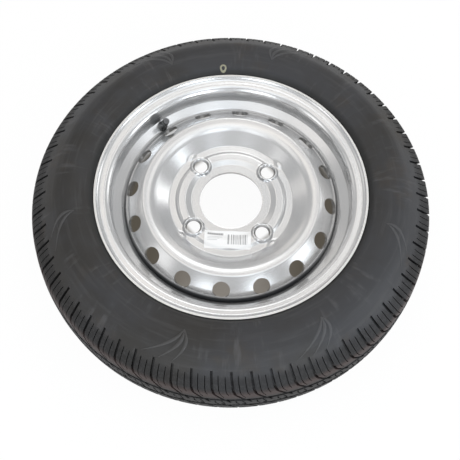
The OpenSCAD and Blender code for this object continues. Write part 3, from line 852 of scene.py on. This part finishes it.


# the rubber's own colours, then what lies over them, the painted shade and highlight, and where
tyreLook = dict(dark=(0.025, 0.0232, 0.0214), blue=(0.035, 0.0355, 0.0385), brown=(0.045, 0.037, 0.030),
                arc=(0.074, 0.073, 0.073), wipe=(0.087, 0.087, 0.09), beside=(0.008, 0.008, 0.008),
                shoulder=(0.006, 0.0058, 0.0058), edge=(0.08, 0.05, 0.044), grit=(0.055, 0.053, 0.055),
                deep=(0.01, 0.0095, 0.0095), brownShare=0.6, arcShare=0.25, wipeShare=0.45, besideShare=0.85,
                shoulderShare=0.7, edgeShare=0.45, gritShare=0.35, treadRadius=(252, 258), besideRadius=(191, 184),
                shoulderRadius=(249, 258), edgeRadius=(262, 268), edgeLow=(14, 24), edgeHigh=(40, 30),
                recessShadeRadius=(268.5, 264.5), recessShadeHeight=(30, 24), specular=0.32, roughness=0.54, treadRoughness=0.08)


def tyreRubber(name, lift=0.0):
    look = tyreLook
    paint = Paint(name)
    x, y, radius, height = paint.wheelPlace()
    broad = paint.noise(7, 4, 0.6)
    patch = paint.noise(16, 4, 0.65)
    grain = paint.noise(1400, 2, 0.6)
    grit = paint.noise(330, 3, 0.7)
    arcs = paint.streaks(radius * 0.16, x / radius * 3, y / radius * 3)
    wipes = paint.streaks(radius * 0.02, x / radius * 24, y / radius * 24)
    tread = paint.ease(radius, *look["treadRadius"])
    # the tread's shoulder edge: dusty, worn brown, painted also as the highlight it catches
    edge = paint.ease(radius, *look["edgeRadius"]) * paint.ease(height, *look["edgeLow"])
    edge = edge * paint.ease(height, *look["edgeHigh"])
    # painted shade in the tread's grooves and cuts, below the tread's surface
    recessShadeFrom, recessShadeTo = [z * z for z in look["recessShadeHeight"]]
    deep = paint.ease(radius, *look["recessShadeRadius"]) * paint.ease(height * height, recessShadeFrom, recessShadeTo)
    dark, blue, brown = [tuple(level + lift for level in look[key]) for key in ("dark", "blue", "brown")]
    wiped = paint.ease(wipes, 0.5, 0.7) * paint.ease(patch, 0.45, 0.6) * (1 - tread)
    colour = paint.mix(paint.ease(broad, 0.38, 0.62), dark, blue)
    colour = paint.mix(paint.ease(patch, 0.52, 0.72) * look["brownShare"], colour, brown)
    colour = paint.mix(paint.ease(arcs, 0.48, 0.72) * (1 - tread) * look["arcShare"], colour, look["arc"])
    colour = paint.mix(wiped * look["wipeShare"], colour, look["wipe"])
    # painted shadow on the tyre just outside the rim's lip
    colour = paint.mix(paint.ease(radius, *look["besideRadius"]) * look["besideShare"], colour, look["beside"])
    colour = paint.mix(paint.ease(radius, *look["shoulderRadius"]) * look["shoulderShare"], colour, look["shoulder"])
    colour = paint.mix(edge * look["edgeShare"], colour, look["edge"])
    colour = paint.mix(paint.ease(grit, 0.48, 0.66) * tread * look["gritShare"], colour, look["grit"])
    colour = paint.mix(deep, colour, look["deep"])
    rough = look["roughness"] + (patch - 0.5) * 0.25 + tread * look["treadRoughness"]
    return paint.finish(baseColor=colour, roughness=rough, specular=look["specular"],
                        normal=paint.bump(grain, 0.35, 0.0003))


def blackRubber():
    paint = Paint("valveRubber")
    grain = paint.noise(1800, 2)
    colour = paint.mix(paint.ease(paint.noise(120), 0.4, 0.65), (0.007, 0.007, 0.007), (0.014, 0.014, 0.015))
    return paint.finish(baseColor=colour, roughness=0.16 + grain * 0.12, coat=0.25,
                        normal=paint.bump(grain, 0.15, 0.0002))


# the cap's moulded sides, and its top, painted paler as a highlight
capLook = dict(side=(0.006, 0.006, 0.007), worn=(0.014, 0.014, 0.015), top=(0.13, 0.13, 0.135),
               topHighlightFrom=0.5, topHighlightFull=0.25)


def capPlastic():
    look = capLook
    paint = Paint("capPlastic")
    speck = paint.noise(1500, 2)
    up = (paint.alongValve() - valveAxis.dot(atValve.translation * mm)) * (1 / mm)
    capTop = valve["stemTop"] + valve["capRoof"]
    # the top is painted paler, standing in for its highlight, with specks
    top = paint.ease(up, capTop - look["topHighlightFrom"], capTop - look["topHighlightFull"]) * (0.6 + speck * 0.4)
    colour = paint.mix(paint.ease(paint.noise(200), 0.45, 0.7), look["side"], look["worn"])
    return paint.finish(baseColor=paint.mix(top, colour, look["top"]), roughness=0.18 + speck * 0.16,
                        normal=paint.bump(speck, 0.12, 0.0002))


# bright and dull metal, with the fine rings that the lathe or the die left
def turnedMetal(name, bright, dull, roughness, ringsPerMetre=9000):
    paint = Paint(name)
    rings = paint.single("SINE", paint.alongValve() * ringsPerMetre)
    stain = paint.noise(300, 3)
    return paint.finish(baseColor=paint.mix(paint.ease(stain, 0.35, 0.7), bright, dull), metallic=1.0,
                        roughness=roughness + stain * 0.15, normal=paint.bump(rings, 0.25, 0.00008))


def paintedRing():
    paint = Paint("markPaint")
    wear = paint.noise(700, 3)
    colour = paint.mix(paint.ease(wear, 0.45, 0.7), (0.27, 0.26, 0.18), (0.17, 0.165, 0.12))
    return paint.finish(baseColor=colour, roughness=0.6, normal=paint.bump(wear, 0.3, 0.0003))


# the label's print: plain bars and lines of my own, each block (left, right, low, high)
# in millimetres from the label's middle
labelPrint = dict(middle=(1.2, -60.2), turn=3.3, ink=(0.09, 0.09, 0.10), paleInk=(0.42, 0.42, 0.43),
                  paper=(0.92, 0.92, 0.915), fibre=(0.86, 0.86, 0.85), bars=(-1, 26, -7.5, 8),
                  heading=(-27, -6, 6.2, 9.4),
                  lines=[(-27, -7, 2.6, 3.5), (-27, -11, 0.4, 1.3), (-27, -14, -1.8, -0.9)])


def labelPaper():
    p = labelPrint
    paint = Paint("labelPaper")
    middle = (p["middle"][0] * mm, p["middle"][1] * mm, 0)
    turned = paint.add("ShaderNodeMapping", {"vector_type": "TEXTURE"},
                       {"Vector": paint.place, "Location": middle, "Rotation": (0, 0, math.radians(p["turn"]))})
    x, y = paint.split(turned, 2)

    def block(left, right, low, high):
        return (x > left) * (x < right) * (y > low) * (y < high)

    stripes = paint.add("ShaderNodeTexNoise", {"noise_dimensions": "1D"}, {"W": x * 0.9, "Scale": 1.0, "Detail": 1})
    bars = paint.ease(stripes, 0.50, 0.53) * block(*p["bars"])
    gaps = paint.ease(paint.single("SINE", x * 2.1), -0.4, 0.4)
    heading = block(*p["heading"]) * (0.75 + 0.25 * gaps)
    lines = sum(block(*line) for line in p["lines"])
    fibre = paint.noise(1200, 3)
    colour = paint.mix(fibre * 0.06, p["paper"], p["fibre"])
    colour = paint.mix(bars * 0.75, colour, p["ink"])
    colour = paint.mix(heading * 0.7, colour, p["ink"])
    colour = paint.mix(lines * 0.6, colour, p["paleInk"])
    return paint.finish(baseColor=colour, roughness=0.5, normal=paint.bump(fibre, 0.1, 0.0002))


def dress(material, *pieces):
    for piece in pieces:
        if piece.material_slots:
            for slot in piece.material_slots:
                slot.material = material
        else:
            piece.data.materials.append(material)


nodes = {name: bpy.data.objects[node] if isinstance(node, str) else node for name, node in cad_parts.items()}
dress(silverPaint(), rimHoop, discPressing, welds)
dress(tyreRubber("tyreRubber"), tyreMoulded)
# the blades get a lighter copy of the rubber, a painted sheen where light catches them
dress(tyreRubber("tyreRubberLitBlades", 0.028), blades)
dress(blackRubber(), nodes["valve_body"], nodes["core_barrel_seal"], nodes["core_cup_seal"])
dress(turnedMetal("turnedBrass", (0.62, 0.46, 0.21), (0.44, 0.31, 0.13), 0.24),
      nodes["valve_stem"], nodes["core_housing"], nodes["core_pin"], nodes["core_cup"])
dress(turnedMetal("springWire", (0.55, 0.55, 0.55), (0.4, 0.4, 0.4), 0.28), springCoil)
dress(paintedRing(), mark)
dress(capPlastic(), cap)
dress(labelPaper(), nodes["label"])
print("materials done")

# the floor and what shows through the holes; soft panels in rings on a dome round the wheel,
# brightest and coolest on one side, and one at the rear
studio = dict(floorSize=60, floorGlow=0.96, floorBounce=0.25, floorColour=(1, 1, 1), shadeColour=(0.25, 0.23, 0.205),
              shadeDark=(0.10, 0.088, 0.07), shadeRadius=(230, 200), boreSeen=(-4, 57), boreClear=(74, 84),
              darkRun=(3000, 17000), darkSpread=9000, worldLevel=0.57,
              panelSize=0.8, panelAway=2.4, panelWatts=90, brightSide=300, tint=0.08,
              rings=[dict(elevation=12, panels=8, plain=0.005, bright=0.125),
                     dict(elevation=30, panels=8, plain=0.007, bright=0.043),
                     dict(elevation=64, panels=6, plain=0.014, bright=0.017),
                     dict(elevation=80, panels=4, plain=0.012, bright=0)],
              rear=dict(elevation=48, azimuth=90, level=0.04))


def floorPaint():
    s = studio
    paint = Paint("floorPaint")
    x, y, radius = paint.wheelPlace()[:3]
    fromBore = paint.length(x - s["boreSeen"][0], y - s["boreSeen"][1])
    # painted shadow on the floor under the wheel, seen through the vents and darker away from the middle in x; the
    # patch seen through the bore stays white
    under = paint.ease(radius, *s["shadeRadius"]) * paint.ease(fromBore, *s["boreClear"])
    dark = paint.ease(x * x + paint.noise(14, 3) * s["darkSpread"], *s["darkRun"])
    colour = paint.mix(under, s["floorColour"], paint.mix(dark, s["shadeColour"], s["shadeDark"]))
    seen = 0
    for ray in ("Is Camera Ray", "Is Glossy Ray", "Is Transmission Ray"):
        path = paint.add("ShaderNodeLightPath", {}, {}, ray)
        seen = paint.add("ShaderNodeMath", {"operation": "MAXIMUM"}, {0: seen, 1: path})
    glow = paint.add("ShaderNodeEmission", {},
                     {"Color": colour, "Strength": seen * (1 - s["floorBounce"]) + s["floorBounce"]})
    plain = paint.add("ShaderNodeBsdfDiffuse", {}, {"Color": colour})
    mixed = paint.add("ShaderNodeMixShader", {}, {0: s["floorGlow"], 1: plain, 2: glow})
    paint.join(mixed, paint.tree.nodes["Material Output"].inputs["Surface"])
    return paint.material


def addFloor():
    bm = bmesh.new()
    bmesh.ops.create_grid(bm, x_segments=1, y_segments=1, size=studio["floorSize"] / 2)
    bmesh.ops.translate(bm, vec=(0, 0, cadBox[0][2]), verts=bm.verts)
    mesh = bpy.data.meshes.new("floor")
    bm.to_mesh(mesh)
    bm.free()
    mesh.materials.append(floorPaint())
    floor = bpy.data.objects.new("floor", mesh)
    bpy.context.scene.collection.objects.link(floor)


def addPanel(elevation, azimuth, level, cool):
    data = bpy.data.lights.new("panel", "AREA")
    data.shape = "DISK"
    data.size = studio["panelSize"]
    data.energy = studio["panelWatts"] * level
    data.color = (1 - cool, 1, 1 + cool)
    panel = bpy.data.objects.new("panel", data)
    bpy.context.scene.collection.objects.link(panel)
    up = math.radians(elevation)
    flat = onCircle((0, 0), math.cos(up), azimuth)
    place = Vector((flat.x, flat.y, math.sin(up))) * studio["panelAway"]
    panel.matrix_world = Matrix.Translation(place) @ (-place).to_track_quat("-Z", "Y").to_matrix().to_4x4()


def addPanels():
    for ring in studio["rings"]:
        for k in range(ring["panels"]):
            away = 360 * k / ring["panels"]
            towards = math.cos(math.radians(away))
            level = ring["plain"] + ring["bright"] * (0.5 + 0.5 * towards) ** 2
            addPanel(ring["elevation"], studio["brightSide"] + away, level, studio["tint"] * towards)
    rear = studio["rear"]
    addPanel(rear["elevation"], rear["azimuth"], rear["level"], 0)


def addWorld():
    world = bpy.data.worlds.new("studio")
    bpy.context.scene.world = world
    world.use_nodes = True
    back = world.node_tree.nodes["Background"]
    back.inputs["Color"].default_value = (1, 1, 1, 1)
    back.inputs["Strength"].default_value = studio["worldLevel"]


addFloor()
addPanels()
addWorld()
bpy.context.scene.view_settings.view_transform = "Standard"
print("stage done")
